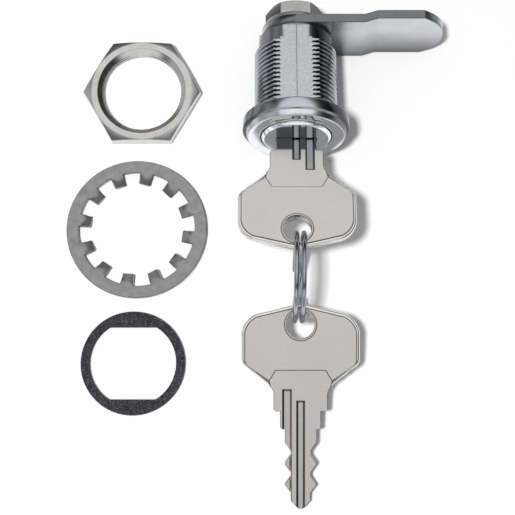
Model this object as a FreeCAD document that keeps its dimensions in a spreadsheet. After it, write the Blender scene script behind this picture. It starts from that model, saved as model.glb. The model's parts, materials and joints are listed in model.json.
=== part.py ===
import FreeCAD, Part

import math
import os
import re

import Sketcher
from FreeCAD import Placement, Rotation, Vector

# A mailbox cam lock lying on a table with its key in, its spare key on a split ring,
# and its panel nut, lock washer and gasket beside it. Millimetres and degrees.
# The lock's own frame: Z runs along its axis towards the cam, from the seat behind
# the flange; X runs along the cam's arm; Y points down when the lock lies down.
# A key's own frame: Y runs from the tip to the bow, Z is square to its faces.

SIZES = {
    # housing
    "flange_radius": 12.25,
    "flange_edge": 2.2,
    "shoulder_radius": 11.5,
    "shoulder_depth": 2.5,
    "bezel_radius": 11.1,
    "bezel_depth": 4.07,
    "barrel_radius": 9.5,
    "barrel_length": 17.7,
    "barrel_flats": 16.0,
    "thread_depth": 0.7,
    "thread_crest": 0.35,
    "thread_spacing": 1.9,
    "thread_ridges": 9,
    "thread_sides": 24,
    "thread_root_lap": 0.1,
    "collar_radius": 8.5,
    "collar_length": 3.2,
    "stop_rim_height": 0.9,
    "stop_rim_wall": 1.4,
    "channel_gap": 0.15,
    # plug
    "head_radius": 7.95,
    "head_gap": 0.25,
    "head_length": 2.75,
    "head_proud": 0.68,
    "head_bevel": 0.6,
    "plug_radius": 6.4,
    "bore_gap": 0.1,
    "shoulder_gap": 0.1,
    "tang_width": 7.9,
    "tang_corner_radius": 5.0,
    "stud_radius": 3.9,
    "stud_proud": 0.2,
    "keyway_gap": 0.15,
    "keyway_end_gap": 0.8,
    "ward_width": 1.3,
    "ward_height": 0.3,
    # wafers and their springs
    "wafer_count": 5,
    "first_wafer": 2.1,
    "wafer_spacing": 2.4,
    "wafer_thickness": 1.0,
    "wafer_height": 5.2,
    "wafer_gap": 0.06,
    "wafer_travel": 1.0,
    "window_gap": 0.55,
    "window_height": 2.6,
    "lug_start": 1.6,
    "lug_width": 1.0,
    "lug_root": 0.5,
    "lug_height": 1.5,
    "spring_length": 4.2,
    "spring_radius": 0.65,
    "spring_wire": 0.11,
    "spring_turns": 3,
    "spring_sides": 4,
    "spring_runs": 6,
    "pocket_gap": 0.1,
    # how far a cut runs past the metal that it goes through
    "over_cut": 1.0,
    # what the plug carries at its rear
    "stop_washer_radius": 6.9,
    "stop_washer_thickness": 1.4,
    "stop_tab_reach": 8.4,
    "stop_tab_width": 4.0,
    "stop_gap": 1.0,
    "turn_angle": 90.0,
    "tang_gap": 0.1,
    "cam_thickness": 2.3,
    "cam_half_width": 7.75,
    "cam_reach": 34.6,
    "cam_tip_drop": 3.6,
    "cam_corner_run": 1.2,
    "cam_corner_in": 0.9,
    "joggle_rise": 1.0,
    "joggle_start": 16.0,
    "joggle_run": 3.0,
    "cam_washer_radius": 7.2,
    "cam_washer_thickness": 1.0,
    "cam_washer_split": 0.8,
    "washer_split_slant": 0.6,
    "cam_nut_width": 12.0,
    "cam_nut_height": 3.7,
    "stud_gap": 0.1,
    "stud_countersink": 0.35,
    "nut_face_inset": 0.2,
    "nut_chamfer_angle": 28.0,
    # keys
    "key_thickness": 1.9,
    "field_height": 0.25,
    "ring_boss_height": 0.12,
    "key_length": 46.0,
    "bow_half_width": 13.25,
    "bow_crown_drop": 3.2,
    "bow_side_top": 42.8,
    "bow_side_bottom": 31.6,
    "bow_shoulder": 27.85,
    "bow_shoulder_half": 7.35,
    "crown_half": 1.6,
    "crown_edge_drop": 0.42,
    "crown_middle_drop": 0.2,
    "bow_top_round": 3.45,
    "bow_top_rise": 0.83,
    "bow_top_in": 1.03,
    "bow_top_down": 0.97,
    "bow_low_round": 1.85,
    "bow_low_in": 0.4,
    "bow_low_up": 0.65,
    "bow_low_run": 1.45,
    "bow_low_drop": 0.2,
    "border_width": 0.75,
    "field_line": 31.0,
    "field_line_half": 5.6,
    "field_corner_in": 0.3,
    "neck_half_width": 6.05,
    "neck_top": 25.7,
    "neck_end": 21.8,
    "step_half_width": 4.55,
    "step_end": 17.75,
    "step_chamfer": 0.4,
    "neck_flare": 0.35,
    "blade_half_width": 3.5,
    "cut_half_width": 2.2,
    "first_cut": 12.55,
    "cut_pitch": 4.8,
    "cut_slope": 1.8,
    "cut_floor": 0.7,
    "shank_top": 3.55,
    "point_length": 1.8,
    "point_half_width": 0.5,
    "ring_hole": 41.2,
    "ring_hole_radius": 3.15,
    "ring_boss_width": 0.45,
    "groove_depth": 0.5,
    "groove_wall_angle": 30.0,
    "groove_half_width": 0.6,
    "groove_start": 23.85,
    "side_groove_inner": 2.35,
    "side_groove_outer": 3.75,
    "side_groove_start": 26.4,
    "key_tip_depth": 14.0,
    # split ring
    "ring_radius": 9.8,
    "ring_wire": 0.58,
    "ring_pitch": 1.65,
    "ring_turns": 1.9,
    "ring_step_turns": 0.22,
    "ring_sides": 10,
    "ring_runs": 30,
    "ring_lean": 1.2,
    "ring_offset": 0.5,
    "main_ring_gap": 1.9,
    "ring_dip": 20.0,
    "spare_ring_gap": 1.5,
    # loose mounting hardware
    "panel_nut_width": 24.0,
    "panel_nut_height": 4.0,
    "panel_nut_bore": 9.3,
    "panel_nut_countersink": 1.0,
    "lock_washer_radius": 16.3,
    "lock_washer_inner": 13.5,
    "lock_washer_tips": 10.75,
    "lock_washer_thickness": 1.0,
    "tooth_thickness": 0.92,
    "tooth_count": 12,
    "tooth_root_width": 3.1,
    "tooth_tip_width": 2.7,
    "tooth_root_lap": 0.35,
    "tooth_twist": 28.0,
    "tooth_phase": 21.0,
    "gasket_radius": 11.9,
    "gasket_rim": 2.0,
    "gasket_flat_rim": 3.55,
    "gasket_thickness": 1.5,
    # where the pieces lie on the table, from the middle of the lock's flange seat
    "spare_lean": 12.0,
    "spare_offset": 0.8,
    "washer_left": 36.9,
    "washer_down": 22.8,
    "nut_left": 36.1,
    "nut_up": 10.05,
    "gasket_left": 37.3,
    "gasket_down": 54.2,
}

doc = FreeCAD.newDocument("mailbox_lock")
sheet = doc.addObject("Spreadsheet::Sheet", "sizes")
for row, (alias, size) in enumerate(SIZES.items(), start=1):
    sheet.set(f"A{row}", str(size))
    sheet.setAlias(f"A{row}", alias)
doc.recompute()

# Places along the lock's axis and in the keys, worked out from the sizes above
PLACES = {
    "barrel_core": "barrel_radius - thread_depth - thread_root_lap",
    "gasket_hole_radius": "gasket_radius - gasket_rim",
    "gasket_flats": "2 * (gasket_radius - gasket_flat_rim)",
    "head_front": "-(bezel_depth + head_proud)",
    "head_seat": "head_length - bezel_depth - head_proud",
    "bore_radius": "plug_radius + bore_gap",
    "collar_end": "barrel_length + collar_length",
    "stop_rim_seat": "barrel_length + collar_length - stop_rim_height",
    "plug_end": "barrel_length + collar_length - stop_rim_height + shoulder_gap",
    "wafer_reach": "plug_radius - bore_gap",
    "ring_cross": "ring_hole + ring_hole_radius - ring_wire - main_ring_gap",
    "spare_cross": "ring_hole + ring_hole_radius - ring_wire - spare_ring_gap",
}


def spell(expression, prefix):
    """An expression in the sheet's words, with the places written out in full."""
    for place, meaning in PLACES.items():
        expression = re.sub(rf"\b{place}\b", f"({meaning})", expression)
    if not prefix:
        return expression
    return re.sub(r"\b[a-z]+(_[a-z]+)+\b", lambda word: "sizes." + word.group(), expression)


def value(expression):
    return float(sheet.evalExpression(spell(str(expression), False)))


def bind(item, path, expression):
    item.setExpression(path, spell(str(expression), True))


# Helpers for bodies, sketches and their features
def new_body(name):
    body = doc.addObject("PartDesign::Body", name)
    body.Label = name
    return body


def new_sketch(body, name, plane):
    sketch = body.newObject("Sketcher::SketchObject", name)
    origin_plane = next(item for item in body.Origin.OriginFeatures if item.Role == plane)
    sketch.AttachmentSupport = (origin_plane, "")
    sketch.MapMode = "FlatFace"
    return sketch


def pin_point(sketch, geometry, end, x, y):
    """Hold one point of a sketch at two expressions, measured from the origin."""
    for kind, expression in (("DistanceX", x), ("DistanceY", y)):
        index = sketch.addConstraint(Sketcher.Constraint(kind, -1, 1, geometry, end, value(expression)))
        bind(sketch, f"Constraints[{index}]", expression)


def outline(sketch, corners):
    """A closed outline. A corner is (x, y), or (x, y, "via") for a point that an arc passes."""
    count = len(corners)
    points = [Vector(value(corner[0]), value(corner[1]), 0) for corner in corners]
    first = None
    previous = None
    index = 0
    while index < count:
        after = (index + 1) % count
        is_arc = len(corners[after]) == 3
        target = (index + 2) % count if is_arc else after
        if is_arc:
            edge = sketch.addGeometry(Part.Arc(points[index], points[after], points[target]), False)
            forward = sketch.getPoint(edge, 1).distanceToPoint(points[index]) < 1e-6
        else:
            edge = sketch.addGeometry(Part.LineSegment(points[index], points[target]), False)
            forward = True
        start, end = (1, 2) if forward else (2, 1)
        pin_point(sketch, edge, start, corners[index][0], corners[index][1])
        if is_arc:
            mark = sketch.addGeometry(Part.Point(points[after]), True)
            sketch.addConstraint(Sketcher.Constraint("PointOnObject", mark, 1, edge))
            pin_point(sketch, mark, 1, corners[after][0], corners[after][1])
        if previous is not None:
            sketch.addConstraint(Sketcher.Constraint("Coincident", previous[0], previous[1], edge, start))
        else:
            first = (edge, start)
        previous = (edge, end)
        index = index + (2 if is_arc else 1)
    sketch.addConstraint(Sketcher.Constraint("Coincident", previous[0], previous[1], first[0], first[1]))


def ring_line(sketch, radius, x="0", y="0"):
    """A circle in a sketch, with its radius and centre bound."""
    centre = Vector(value(x), value(y), 0)
    circle = sketch.addGeometry(Part.Circle(centre, Vector(0, 0, 1), value(radius)), False)
    index = sketch.addConstraint(Sketcher.Constraint("Radius", circle, value(radius)))
    bind(sketch, f"Constraints[{index}]", radius)
    pin_point(sketch, circle, 3, x, y)


def mirrored(points):
    """The right half of an outline, from one end to the other, and its mirror image."""
    left = [("-(" + point[0] + ")",) + tuple(point[1:]) for point in reversed(points)]
    return list(points) + left


def square(half_x, half_y):
    """A rectangle about the origin."""
    return rectangle(f"-({half_x})", half_x, f"-({half_y})", half_y)


def rectangle(low_x, high_x, low_y, high_y):
    return [(low_x, low_y), (high_x, low_y), (high_x, high_y), (low_x, high_y)]


def many_sided(radius, sides):
    """An even outline with its corners at this radius."""
    corners = []
    for index in range(int(sides)):
        angle = 360 * (index + 0.5) / sides
        corners.append((f"({radius}) * cos({angle} deg)", f"({radius}) * sin({angle} deg)"))
    return corners


def hexagon(width):
    """A hexagon of this width across its flats, with two corners on the X axis."""
    corner, half, flat = f"{width} / sqrt(3)", f"{width} / (2 * sqrt(3))", f"{width} / 2"
    return [
        (corner, "0"),
        (half, flat),
        (f"-({half})", flat),
        (f"-({corner})", "0"),
        (f"-({half})", f"-({flat})"),
        (half, f"-({flat})"),
    ]


def lift(sketch, height):
    """Move a sketch along its own normal."""
    bind(sketch, "AttachmentOffset.Base.z", height)


def add_feature(body, kind, sketch, name):
    feature = body.newObject(kind, name)
    feature.Profile = sketch
    return feature


def pad(body, sketch, length, midplane=False):
    feature = add_feature(body, "PartDesign::Pad", sketch, sketch.Name + "_pad")
    bind(feature, "Length", length)
    if midplane:
        feature.SideType = "Symmetric"
    return feature


def pocket(body, sketch, length, midplane=False, below=False, wall_angle=None):
    """Cut along the sketch's own normal, against it or both ways, with walls that may flare."""
    feature = add_feature(body, "PartDesign::Pocket", sketch, sketch.Name + "_pocket")
    bind(feature, "Length", length)
    if midplane:
        feature.SideType = "Symmetric"
    else:
        feature.Reversed = not below
    if wall_angle:
        bind(feature, "TaperAngle", wall_angle)
    return feature


def turn(body, sketch, kind="PartDesign::Revolution"):
    feature = add_feature(body, kind, sketch, sketch.Name + "_turn")
    feature.ReferenceAxis = (sketch, ["V_Axis"])
    feature.Angle = 360
    return feature


def profile(body, name, plane, corners, height="0"):
    sketch = new_sketch(body, name, plane)
    outline(sketch, corners)
    if height != "0":
        lift(sketch, height)
    return sketch


# Housing: flange, bezel, barrel with two flats, collar, bore, wafer channels and stop rim
def make_housing():
    body = new_body("housing")
    collar_bore = "collar_radius - stop_rim_wall"
    turned = [
        ("bore_radius", "head_seat"),
        ("head_radius + head_gap", "head_seat"),
        ("head_radius + head_gap", "-bezel_depth"),
        ("bezel_radius", "-bezel_depth"),
        ("shoulder_radius", "-shoulder_depth"),
        ("flange_radius", "-flange_edge"),
        ("flange_radius", "0"),
        ("barrel_core", "0"),
        ("barrel_core", "barrel_length"),
        ("collar_radius", "barrel_length"),
        ("collar_radius", "collar_end"),
        (collar_bore, "collar_end"),
        (collar_bore, "stop_rim_seat"),
        ("bore_radius", "stop_rim_seat"),
    ]
    turn(body, profile(body, "housing_section", "XZ_Plane", turned))
    rise = "(thread_spacing - thread_crest) / 2"
    root = "barrel_radius - thread_depth"
    steps = [
        (root, "0"),
        ("barrel_radius", rise),
        ("barrel_radius", f"{rise} + thread_crest"),
        (root, "thread_spacing"),
    ]
    sections = []
    for number, (radius, height) in enumerate(steps):
        level = f"(barrel_length - thread_ridges * thread_spacing) / 2 + {height}"
        corners = many_sided(radius, value("thread_sides"))
        sections.append(profile(body, f"thread_level_{number}", "XY_Plane", corners, level))
    ridge = body.newObject("PartDesign::AdditiveLoft", "thread_ridge")
    ridge.Profile = sections[0]
    ridge.Sections = sections[1:]
    ridge.Ruled = True
    repeat(body, ridge, "thread_ridges", "thread_spacing")
    bore = new_sketch(body, "barrel_bore", "XY_Plane")
    ring_line(bore, "bore_radius")
    pocket(body, bore, "barrel_length")
    flats = new_sketch(body, "barrel_flats_cut", "XY_Plane")
    for side in ("", "-"):
        flat = f"{side}barrel_flats / 2"
        outline(flats, rectangle("-flange_radius", "flange_radius", flat, f"{side}flange_radius"))
    pocket(body, flats, "collar_end + over_cut")
    channel = square("wafer_reach + wafer_travel + channel_gap", "wafer_height / 2 + channel_gap")
    start = "first_wafer - wafer_thickness"
    channels = profile(body, "wafer_channels", "XY_Plane", channel, start)
    pocket(body, channels, f"stop_rim_seat - ({start})")
    tab_angle = "asin(stop_tab_width / (2 * stop_washer_radius))"
    low = f"(90 deg - {tab_angle} - stop_gap * 1 deg)"
    high = f"(90 deg + (turn_angle + stop_gap) * 1 deg + {tab_angle})"
    reach = "2 * collar_radius"
    sector = [("0", "0")]
    for angle in (low, f"(({low} + {high}) / 2)", high):
        sector.append((f"{reach} * cos({angle})", f"{reach} * sin({angle})"))
    stops = profile(body, "turn_stops", "XY_Plane", sector, "stop_rim_seat")
    pocket(body, stops, "stop_rim_height + over_cut")
    return body


# Plug: bevelled head, body with keyway and wafer slots, square tang and threaded stud
def make_plug():
    body = new_body("plug")
    cam_back = "plug_end + stop_washer_thickness + cam_thickness"
    stud_end = f"{cam_back} + cam_washer_thickness + cam_nut_height + stud_proud"
    turned = [
        ("0", "head_front"),
        ("head_radius - head_bevel", "head_front"),
        ("head_radius", "head_front + head_bevel"),
        ("head_radius", "head_seat"),
        ("plug_radius", "head_seat"),
        ("plug_radius", "plug_end"),
        ("tang_corner_radius", "plug_end"),
        ("tang_corner_radius", f"{cam_back} - tang_gap"),
        ("stud_radius", f"{cam_back} - tang_gap"),
        ("stud_radius", stud_end),
        ("0", stud_end),
    ]
    turn(body, profile(body, "plug_section", "XZ_Plane", turned))
    tang = new_sketch(body, "tang_square", "XY_Plane")
    ring_line(tang, "plug_radius + over_cut")
    outline(tang, square("tang_width / 2", "tang_width / 2"))
    lift(tang, "plug_end")
    pocket(body, tang, "stop_washer_thickness + cam_thickness - tang_gap")

    half_slot = "blade_half_width + keyway_gap"
    half_high = "key_thickness / 2 + keyway_gap"
    half_ward = "ward_width / 2"
    ward_edge = f"{half_high} - ward_height"
    upper = [(half_slot, half_high), (half_ward, half_high), (half_ward, ward_edge)]
    upper = upper + [(f"-({across})", up) for across, up in reversed(upper)]
    lower = [(f"-({across})", f"-({up})") for across, up in upper]
    keyway_length = "key_tip_depth + keyway_end_gap - (head_front)"
    pocket(body, profile(body, "keyway", "XY_Plane", upper + lower, "head_front"), keyway_length)
    mouth = square("step_half_width + keyway_gap", half_high)
    mouth_depth = "key_tip_depth - step_end + keyway_gap - (head_front)"
    pocket(body, profile(body, "keyway_mouth", "XY_Plane", mouth, "head_front"), mouth_depth)

    slot_start = "first_wafer - wafer_thickness / 2 - wafer_gap"
    slot = square("plug_radius + over_cut", "wafer_height / 2 + wafer_gap")
    slots = profile(body, "wafer_slot", "XY_Plane", slot, slot_start)
    repeat(body, pocket(body, slots, "wafer_thickness + 2 * wafer_gap"), "wafer_count", "wafer_spacing")
    for side, count in ((1, "ceil(wafer_count / 2)"), (-1, "floor(wafer_count / 2)")):
        low = "spring_length - lug_start"
        high = "lug_start + lug_width + wafer_travel + pocket_gap"
        near = "wafer_height / 2"
        far = "wafer_height / 2 + lug_height + 2 * pocket_gap"
        start = "first_wafer" if side > 0 else "first_wafer + wafer_spacing"
        across = [f"-({side}) * ({low})", f"({side}) * ({high})"]
        cut = rectangle(*across, f"({side}) * ({near})", f"({side}) * ({far})")
        deep = "2 * (spring_radius + spring_wire + pocket_gap)"
        name = "spring_pocket_right" if side > 0 else "spring_pocket_left"
        pockets = profile(body, name, "XY_Plane", cut, f"{start} - {deep} / 2")
        repeat(body, pocket(body, pockets, deep), count, "2 * wafer_spacing")
    return body


def repeat(body, feature, count, pitch):
    """Repeat a feature along the lock's axis."""
    doc.recompute()
    pattern = body.newObject("PartDesign::LinearPattern", feature.Name + "_row")
    pattern.Originals = [feature]
    axis = next(item for item in body.Origin.OriginFeatures if item.Role == "Z_Axis")
    pattern.Direction = (axis, [""])
    bind(pattern, "Occurrences", count)
    bind(pattern, "Length", f"({count} - 1) * {pitch}")
    body.Tip = pattern


# Wafers: a plate rounded to the plug, with a window for the blade and a lug for its spring
def make_wafer(number):
    name = f"wafer_{number + 1}"
    side = 1 if number % 2 == 0 else -1
    start = f"first_wafer + {number} * wafer_spacing - wafer_thickness / 2"
    body = new_body(name)
    half = "wafer_height / 2"
    edge = f"sqrt(wafer_reach * wafer_reach - {half} * {half})"
    plate = [(edge, f"-{half}"), ("wafer_reach", "0", "via"), (edge, half)]
    plate = plate + [(f"-({edge})", half), ("-(wafer_reach)", "0", "via"), (f"-({edge})", f"-{half}")]
    sketch = profile(body, name + "_plate", "XY_Plane", plate, start)
    outline(sketch, square("blade_half_width + window_gap", "window_height / 2"))
    pad(body, sketch, "wafer_thickness")
    across = [f"{side} * lug_start", f"{side} * (lug_start + lug_width)"]
    along = [f"{side} * ({half} - lug_root)", f"{side} * ({half} + lug_height)"]
    lug = profile(body, name + "_lug", "XY_Plane", rectangle(*across, *along), start)
    pad(body, lug, "wafer_thickness")
    return body


def wound_wire(points, wire, sides):
    """One unbroken wire in straight runs with mitred corners along these points."""
    way = (points[1] - points[0]).normalize()
    up = way.cross(points[0]).normalize()
    out = up.cross(way).normalize()
    corners = []
    for index in range(sides):
        angle = 2 * math.pi * (index + 0.5) / sides
        corners.append(points[0] + (out * math.cos(angle) + up * math.sin(angle)) * wire)
    shell = Part.BRepOffsetAPI.MakePipeShell(Part.makePolygon(points))
    shell.setTransitionMode(1)
    shell.add(Part.makePolygon(corners + corners[:1]))
    shell.build()
    shell.makeSolid()
    return shell.shape()


def make_wafer_spring(number):
    """A coil beside its wafer, between the end of its pocket and the wafer's lug."""
    side = 1 if number % 2 == 0 else -1
    wire = value("spring_wire")
    turns, sides, runs = (int(value(name)) for name in ("spring_turns", "spring_sides", "spring_runs"))
    free = value("spring_length") - 2 * wire
    spring = doc.addObject("Part::Feature", f"wafer_spring_{number + 1}")
    spring.Label = spring.Name
    points = []
    for index in range(turns * runs + 1):
        angle = 2 * math.pi * index / runs
        reach = Vector(math.cos(angle), math.sin(angle), 0) * value("spring_radius")
        points.append(reach + Vector(0, 0, free * index / (turns * runs)))
    shape = wound_wire(points, wire, sides)
    across = side * (value("lug_start - spring_length") + wire)
    height = side * value("wafer_height / 2 + pocket_gap + spring_radius + spring_wire")
    along = value(f"first_wafer + {number} * wafer_spacing")
    seat = Placement(Vector(across, height, along), Rotation(Vector(0, 1, 0), 90 * side))
    spring.Shape = shape.transformed(seat.toMatrix(), True)
    return spring


# The stack behind the plug: stop washer, cam, split washer and nut
def square_hole(body, name, start, depth):
    half = "tang_width / 2 + tang_gap"
    pocket(body, profile(body, name, "XY_Plane", square(half, half), start), depth)


def make_stop_washer():
    body = new_body("stop_washer")
    disc = new_sketch(body, "stop_disc", "XY_Plane")
    ring_line(disc, "stop_washer_radius")
    lift(disc, "plug_end")
    pad(body, disc, "stop_washer_thickness")
    tab = rectangle("-stop_tab_reach", "0", "-stop_tab_width / 2", "stop_tab_width / 2")
    pad(body, profile(body, "stop_tab", "XY_Plane", tab, "plug_end"), "stop_washer_thickness")
    square_hole(body, "stop_washer_square", "plug_end", "stop_washer_thickness")
    return body


def make_cam():
    body = new_body("cam")
    front = "plug_end + stop_washer_thickness"
    back = f"{front} + cam_thickness"
    foot = "joggle_start"
    crest = "joggle_start + joggle_run"
    side = [
        ("-cam_half_width", front),
        (foot, front),
        (crest, f"{front} + joggle_rise"),
        ("cam_reach", f"{front} + joggle_rise"),
        ("cam_reach", f"{back} + joggle_rise"),
        (crest, f"{back} + joggle_rise"),
        (foot, back),
        ("-cam_half_width", back),
    ]
    pad(body, profile(body, "cam_side", "XZ_Plane", side), "2 * cam_half_width", midplane=True)
    shoulder = "cam_reach - cam_tip_drop"
    wide = "cam_half_width + over_cut"
    frame = rectangle("-2 * cam_half_width", "cam_reach + over_cut", f"-({wide})", wide)
    plan = [
        ("0", "-cam_half_width"),
        (f"{shoulder} - cam_corner_run", "-cam_half_width"),
        (shoulder, "-cam_half_width + cam_corner_in"),
        ("cam_reach", "0", "via"),
        (shoulder, "cam_half_width - cam_corner_in"),
        (f"{shoulder} - cam_corner_run", "cam_half_width"),
        ("0", "cam_half_width"),
        ("-cam_half_width", "0", "via"),
    ]
    trim = new_sketch(body, "cam_plan", "XY_Plane")
    outline(trim, frame)
    outline(trim, plan)
    lift(trim, f"{front} - over_cut")
    pocket(body, trim, "cam_thickness + joggle_rise + 2 * over_cut")
    square_hole(body, "cam_square", f"{front} - over_cut", "cam_thickness + 2 * over_cut")
    return body


def make_cam_spring_washer():
    body = new_body("cam_spring_washer")
    base = "plug_end + stop_washer_thickness + cam_thickness"
    ring = new_sketch(body, "split_washer_ring", "XY_Plane")
    ring_line(ring, "cam_washer_radius")
    ring_line(ring, "stud_radius + stud_gap")
    lift(ring, base)
    pad(body, ring, "cam_washer_thickness")
    half = "cam_washer_split / 2"
    inner, outer = "stud_radius - over_cut", "cam_washer_radius + over_cut"
    split = [
        (f"washer_split_slant - {half}", inner),
        (f"washer_split_slant + {half}", inner),
        (f"{half} - washer_split_slant", outer),
        (f"-{half} - washer_split_slant", outer),
    ]
    cut = profile(body, "washer_split", "XY_Plane", split, f"{base} - over_cut")
    pocket(body, cut, "cam_washer_thickness + 2 * over_cut")
    return body


def make_nut(name, width, height, bore, base, countersink):
    """A hex nut with its far rim chamfered and its bore countersunk."""
    body = new_body(name)
    pad(body, profile(body, name + "_hexagon", "XY_Plane", hexagon(width), base), height)
    top = f"{base} + {height}"
    corner = f"{width} / sqrt(3) + over_cut"
    flat = f"{width} / 2 - nut_face_inset"
    drop = f"({corner} - ({flat})) * tan(nut_chamfer_angle * 1 deg)"
    rim = [(flat, top), (corner, f"{top} - {drop}"), (corner, top)]
    turn(body, profile(body, name + "_rim", "XZ_Plane", rim), "PartDesign::Groove")
    wide = f"{bore} + {countersink}"
    hole = [
        ("0", f"{base} - over_cut"),
        (wide, f"{base} - over_cut"),
        (wide, base),
        (bore, f"{base} + {countersink}"),
        (bore, f"{top} - {countersink}"),
        (wide, top),
        (wide, f"{top} + over_cut"),
        ("0", f"{top} + over_cut"),
    ]
    turn(body, profile(body, name + "_bore", "XZ_Plane", hole), "PartDesign::Groove")
    return body


# Keys: coined bow with a raised field, neck, two steps, and a blade cut on both edges
def blade_side():
    """The right edge of the key's lower part, from the neck to the point."""
    edge = [
        ("neck_half_width", "neck_top"),
        ("neck_half_width", "neck_end + step_chamfer"),
        ("neck_half_width - step_chamfer", "neck_end"),
        ("step_half_width", "neck_end"),
        ("step_half_width", "step_end + step_chamfer"),
        ("step_half_width - step_chamfer", "step_end"),
        ("blade_half_width", "step_end"),
    ]
    for number in range(2):
        middle = f"first_cut - {number} * cut_pitch"
        edge.append(("blade_half_width", f"{middle} + cut_floor / 2 + cut_slope"))
        edge.append(("cut_half_width", f"{middle} + cut_floor / 2"))
        edge.append(("cut_half_width", f"{middle} - cut_floor / 2"))
        edge.append(("blade_half_width", f"{middle} - cut_floor / 2 - cut_slope"))
    edge.append(("blade_half_width", "shank_top + cut_slope"))
    edge.append(("cut_half_width", "shank_top"))
    edge.append(("cut_half_width", "point_length"))
    edge.append(("point_half_width", "0"))
    return edge


def bow_side(inset):
    """The right edge of the bow, from its crown to its shoulder, drawn in by an inset."""
    wide = f"bow_half_width - {inset}"
    slant = f"{inset} * sqrt(1 / 2)"
    crown = "key_length - bow_crown_drop"
    return [
        ("crown_half", f"key_length - crown_edge_drop - {inset}"),
        ("bow_half_width - bow_top_round", f"bow_side_top + bow_top_rise - {inset}"),
        (f"bow_half_width - bow_top_in - {slant}", f"{crown} - bow_top_down - {slant}", "via"),
        (wide, "bow_side_top - bow_top_round"),
        (wide, "bow_side_bottom + bow_low_round"),
        (f"{wide} - bow_low_in", "bow_side_bottom + bow_low_up", "via"),
        (f"{wide} - bow_low_run", "bow_side_bottom - bow_low_drop"),
    ]


def make_key(name):
    body = new_body(name)
    crown = [("0", "key_length - crown_middle_drop", "via")]
    shoulder = [
        ("bow_shoulder_half", "bow_shoulder"),
        ("neck_half_width + neck_flare", "(bow_shoulder + neck_top) / 2", "via"),
    ]
    right = bow_side("0") + shoulder + blade_side()
    blank = mirrored(right) + crown
    pad(body, profile(body, name + "_blank", "XY_Plane", blank), "key_thickness", midplane=True)
    field_right = bow_side("border_width") + [
        ("bow_shoulder_half - field_corner_in", "bow_shoulder + border_width"),
        ("field_line_half", "field_line"),
    ]
    field_crown = [("0", "key_length - crown_middle_drop - border_width", "via")]
    field = profile(body, name + "_field", "XY_Plane", mirrored(field_right) + field_crown)
    pad(body, field, "key_thickness + 2 * field_height", midplane=True)
    boss = new_sketch(body, name + "_ring_boss", "XY_Plane")
    ring_line(boss, "ring_hole_radius + ring_boss_width", "0", "ring_hole")
    pad(body, boss, "key_thickness + 2 * field_height + 2 * ring_boss_height", midplane=True)
    hole = new_sketch(body, name + "_ring_hole", "XY_Plane")
    ring_line(hole, "ring_hole_radius", "0", "ring_hole")
    pocket(body, hole, "2 * key_thickness", midplane=True)
    groove_ends = ("-over_cut", "groove_start")
    middle = rectangle("-groove_half_width", "groove_half_width", *groove_ends)
    left = rectangle("-side_groove_outer", "-side_groove_inner", "-over_cut", "side_groove_start")
    right_side = rectangle("side_groove_inner", "side_groove_outer", "-over_cut", "side_groove_start")
    face = "key_thickness / 2 - groove_depth"
    for label, corners, below in (
        ("_top_groove", middle, False),
        ("_under_groove", middle, True),
        ("_top_side_groove", left, False),
        ("_under_side_groove", right_side, True),
    ):
        floor = profile(body, name + label, "XY_Plane", corners, f"-({face})" if below else face)
        pocket(body, floor, "key_thickness", below=below, wall_angle="groove_wall_angle * 1 deg")
    return body


def make_split_ring():
    """Two flat turns side by side, with the step from one to the other at the ring's foot."""
    ring = doc.addObject("Part::Feature", "split_ring")
    ring.Label = "split_ring"
    pitch, turns, step = value("ring_pitch"), value("ring_turns"), value("ring_step_turns")
    sides, runs = int(value("ring_sides")), int(value("ring_runs"))
    count = round(turns * runs)
    points = []
    for index in range(count + 1):
        turned = turns * index / count
        share = min(max((turned - turns / 2) / step + 0.5, 0), 1)
        beside = pitch * (share * share * (3 - 2 * share) - 0.5)
        angle = 2 * math.pi * (turned - turns / 2)
        radius = value("ring_radius")
        points.append(Vector(radius * math.cos(angle), radius * math.sin(angle), beside))
    ring.Shape = wound_wire(points, value("ring_wire"), sides)
    print("least gap between the ring's turns:", round(pitch - 2 * value("ring_wire"), 3))
    return ring


# Loose hardware for the panel
def twisted_bar(low, high):
    """A solid between two four-cornered ends; its twisted sides are folded along a diagonal."""
    faces = [Part.Face(Part.makePolygon(end + end[:1])) for end in (low, high)]
    for index in range(len(low)):
        after = (index + 1) % len(low)
        for corners in ([low[index], low[after], high[after]], [low[index], high[after], high[index]]):
            faces.append(Part.Face(Part.makePolygon(corners + corners[:1])))
    return Part.makeSolid(Part.makeShell(faces))


def make_lock_washer():
    """A flat rim with teeth that reach inwards and are twisted out of its plane."""
    washer = doc.addObject("Part::Feature", "panel_lock_washer")
    washer.Label = "panel_lock_washer"
    thick = value("lock_washer_thickness")
    tall = value("tooth_thickness") / 2
    rim = Part.makeCylinder(value("lock_washer_radius"), thick)
    rim = rim.cut(Part.makeCylinder(value("lock_washer_inner"), thick))
    root = value("lock_washer_inner + tooth_root_lap")
    ends = []
    for reach, width, twist in (
        (root, "tooth_root_width", 0.0),
        (value("lock_washer_tips"), "tooth_tip_width", math.radians(value("tooth_twist"))),
    ):
        half = value(width) / 2
        points = []
        for across, up in ((-half, -tall), (half, -tall), (half, tall), (-half, tall)):
            y = across * math.cos(twist) - up * math.sin(twist)
            z = across * math.sin(twist) + up * math.cos(twist)
            points.append(Vector(reach, y, z + thick / 2))
        ends.append(points)
    tooth = twisted_bar(*ends)
    count = int(value("tooth_count"))
    teeth = []
    for index in range(count):
        copy = tooth.copy()
        copy.rotate(Vector(0, 0, 0), Vector(0, 0, 1), value("tooth_phase") + 360 * index / count)
        teeth.append(copy)
    washer.Shape = rim.fuse(teeth).removeSplitter()
    return washer


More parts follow.
